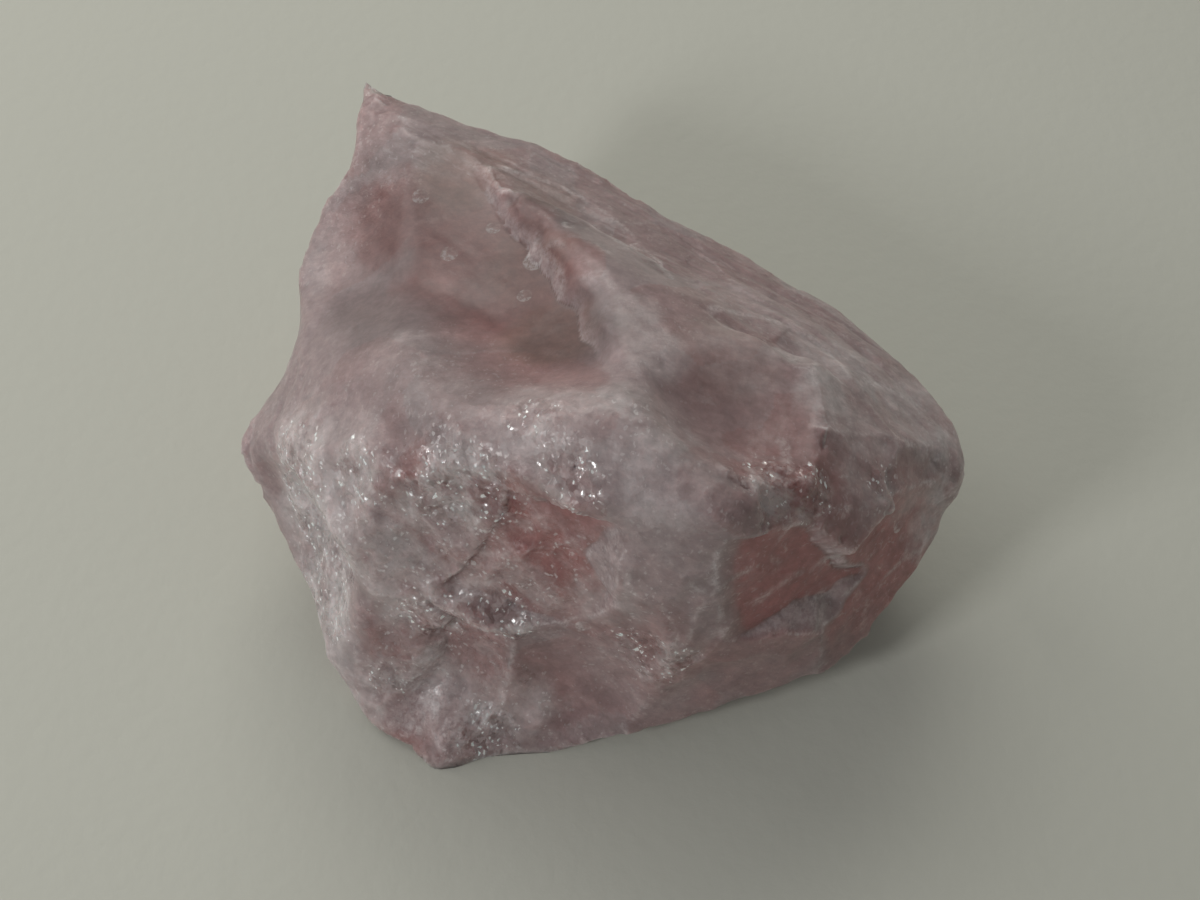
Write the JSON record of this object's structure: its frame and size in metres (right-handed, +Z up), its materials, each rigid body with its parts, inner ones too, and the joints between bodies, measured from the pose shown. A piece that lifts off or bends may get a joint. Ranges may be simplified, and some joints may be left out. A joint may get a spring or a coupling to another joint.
{
  "type": "rose quartz chunk",
  "caption": "Rough broken lump of pink translucent rose quartz with smooth shell-shaped hollows and a flat underside to rest on.",
  "frame": {"origin": "middle of the bounding box at the level of the flat underside", "axes": "+Z up off the rest face, +X along the lump from its left shoulder to its pointed right tip, +Y from the toe at the front to the apex at the back"},
  "size_m": [0.096, 0.091, 0.052],
  "materials": {
    "rose_quartz": "glassy broken faces, slightly greasy shine, cloudy inside"
  },
  "bodies": {
    "root": {"rose_quartz_chunk": "rose_quartz"}
  },
  "joints": []
}
